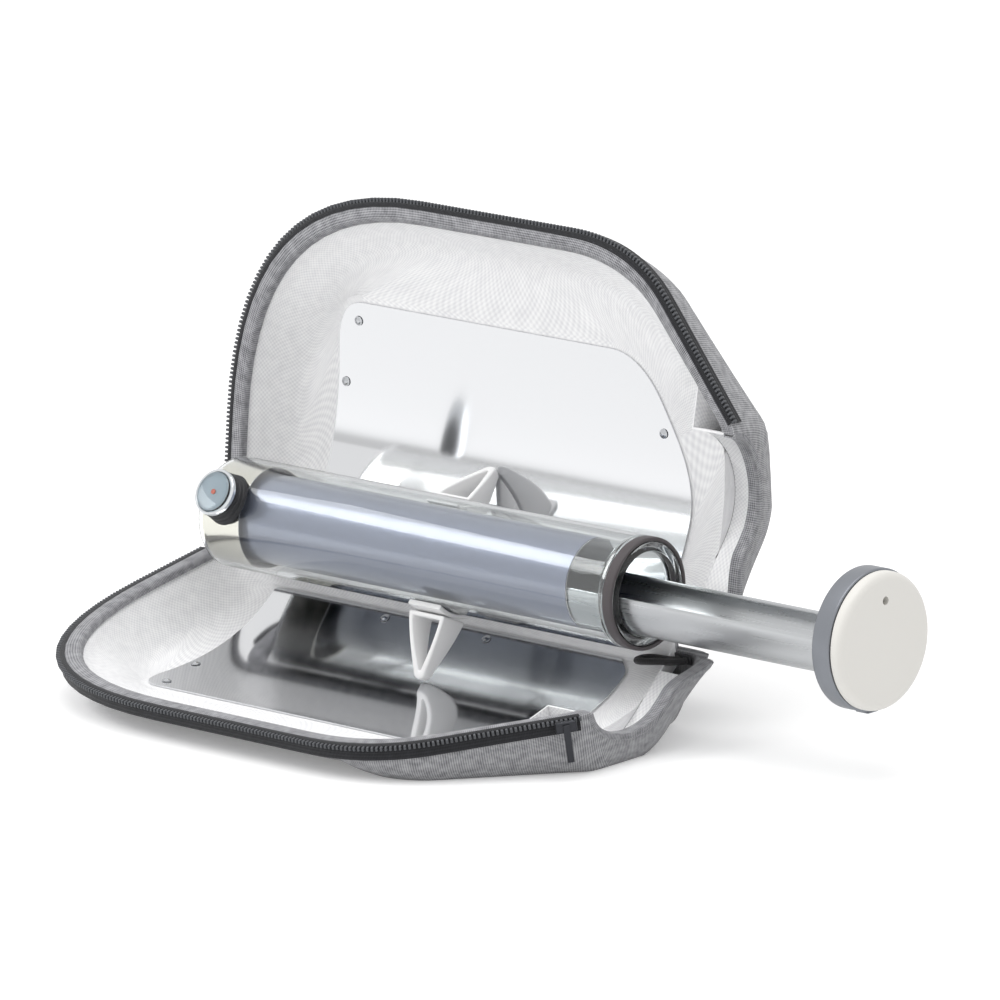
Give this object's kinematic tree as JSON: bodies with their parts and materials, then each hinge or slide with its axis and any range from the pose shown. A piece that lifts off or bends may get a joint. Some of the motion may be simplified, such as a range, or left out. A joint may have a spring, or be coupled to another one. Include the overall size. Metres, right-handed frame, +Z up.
{
  "type": "folding solar oven",
  "caption": "Folding solar oven: a glass vacuum tube with a pull-out steel cooking tray between two zip-up woven case halves lined with trough mirrors",
  "frame": {"origin": "on the level underside of the base half, where the oven stands, below the middle of the tube's bore", "axes": "+X along the vacuum tube towards its cap, -Y to the front edge of the base half, +Z up"},
  "size_m": [0.4735, 0.2409, 0.247],
  "materials": {
    "weave": "grey melange woven polyester",
    "lining": "white fine woven lining, thermoformed",
    "binding": "grey woven binding",
    "mirror": "polished aluminium sheet",
    "steel": "stainless steel",
    "tape": "black zip tape",
    "teeth": "dark moulded zip teeth",
    "zinc": "plated zinc die casting",
    "glass": "clear borosilicate glass",
    "coating": "blue-grey selective coating on glass",
    "silver": "silvered getter film",
    "rubber": "moulded silicone rubber",
    "nylon": "white moulded nylon",
    "red": "red paint",
    "chrome": "chrome plate",
    "tray": "satin stainless steel sheet",
    "cap": "satin anodised aluminium",
    "disc": "off-white moulded plastic",
    "cord": "black braided elastic cord"
  },
  "bodies": {
    "base": {"lower_shell": "weave", "lower_lining": "lining", "lower_rim_binding": "binding", "lower_neck_liner": "lining", "lower_neck_trim": "binding", "lower_neck_end": "lining", "lower_mirror": "mirror", "lower_rivet_1": "steel", "lower_rivet_2": "steel", "lower_rivet_3": "steel", "lower_rivet_4": "steel", "lower_rivet_5": "steel", "lower_zip_tape": "tape", "lower_zip_teeth": "teeth", "lower_hinge_leaf": "binding", "cord_anchor": "rubber", "cord_loop": "cord"},
    "lid": {"upper_shell": "weave", "upper_lining": "lining", "upper_rim_binding": "binding", "upper_neck_liner": "lining", "upper_neck_trim": "binding", "upper_neck_end": "lining", "upper_mirror": "mirror", "upper_rivet_1": "steel", "upper_rivet_2": "steel", "upper_rivet_3": "steel", "upper_rivet_4": "steel", "upper_rivet_5": "steel", "upper_zip_tape": "tape", "upper_zip_teeth": "teeth", "upper_hinge_leaf": "binding"},
    "hinge_core": {"hinge_bead": "binding"},
    "tube": {"outer_glass": "glass", "absorber_tube": "coating", "getter_film": "silver", "spring_clip": "steel", "mouth_seal": "rubber", "sight_base": "rubber", "sight_bezel": "chrome", "sight_dial": "nylon", "sight_dot": "red", "sight_lens": "glass"},
    "lower_leg": {"lower_foot_pad": "nylon", "lower_foot": "nylon"},
    "upper_leg": {"upper_foot_pad": "nylon", "upper_foot": "nylon"},
    "tray": {"tray_trough": "tray", "tray_stopper": "rubber", "stopper_screw_left": "steel", "stopper_screw_right": "steel", "cap_gasket": "rubber", "cap_ring": "cap", "cap_disc": "disc", "release_tab": "cap"},
    "slider": {"zip_slider": "zinc"},
    "pull": {"zip_pull": "zinc"}
  },
  "joints": [
    {"name": "case_fold", "type": "hinge", "parent": "base", "child": "lid", "pos_m": [0, 0.06968, 0.05167], "axis": [1, 0, 0], "range_deg": [0, 104.6]},
    {"name": "hinge_roll", "type": "hinge", "parent": "base", "child": "hinge_core", "pos_m": [0, 0.06968, 0.05167], "axis": [1, 0, 0], "range_deg": [0, 52.3]},
    {"name": "tube_seat", "type": "slide", "parent": "hinge_core", "child": "tube", "axis": [0, -0.7367, 0.6762], "range_m": [0, 0.0305]},
    {"name": "lower_foot_swing", "type": "hinge", "parent": "tube", "child": "lower_leg", "pos_m": [0.0175, 0.045, 0.07433], "axis": [1, 0, 0], "range_deg": [-95.5, 0]},
    {"name": "upper_foot_swing", "type": "hinge", "parent": "tube", "child": "upper_leg", "pos_m": [-0.0055, 0.045, 0.07433], "axis": [1, 0, 0], "range_deg": [0, 95.5]},
    {"name": "tray_slide", "type": "slide", "parent": "tube", "child": "tray", "axis": [1, 0, 0], "range_m": [-0.136, 0.14]},
    {"name": "zip_slide", "type": "slide", "parent": "base", "child": "slider", "axis": [-0.6588, -0.7409, -0.1306], "range_m": [0, 0.058]},
    {"name": "pull_swing", "type": "hinge", "parent": "slider", "child": "pull", "pos_m": [0.17612, -0.04742, 0.02879], "axis": [-0.6588, -0.7409, -0.1306], "range_deg": [0, 100]}
  ],
  "couplings": [
    {"joint": "hinge_roll", "follows": "case_fold", "ratio": 0.5},
    {"joint": "tube_seat", "follows": "case_fold", "m_per_rad": 0.016706},
    {"joint": "lower_foot_swing", "follows": "case_fold", "ratio": -0.913},
    {"joint": "upper_foot_swing", "follows": "case_fold", "ratio": 0.913}
  ]
}
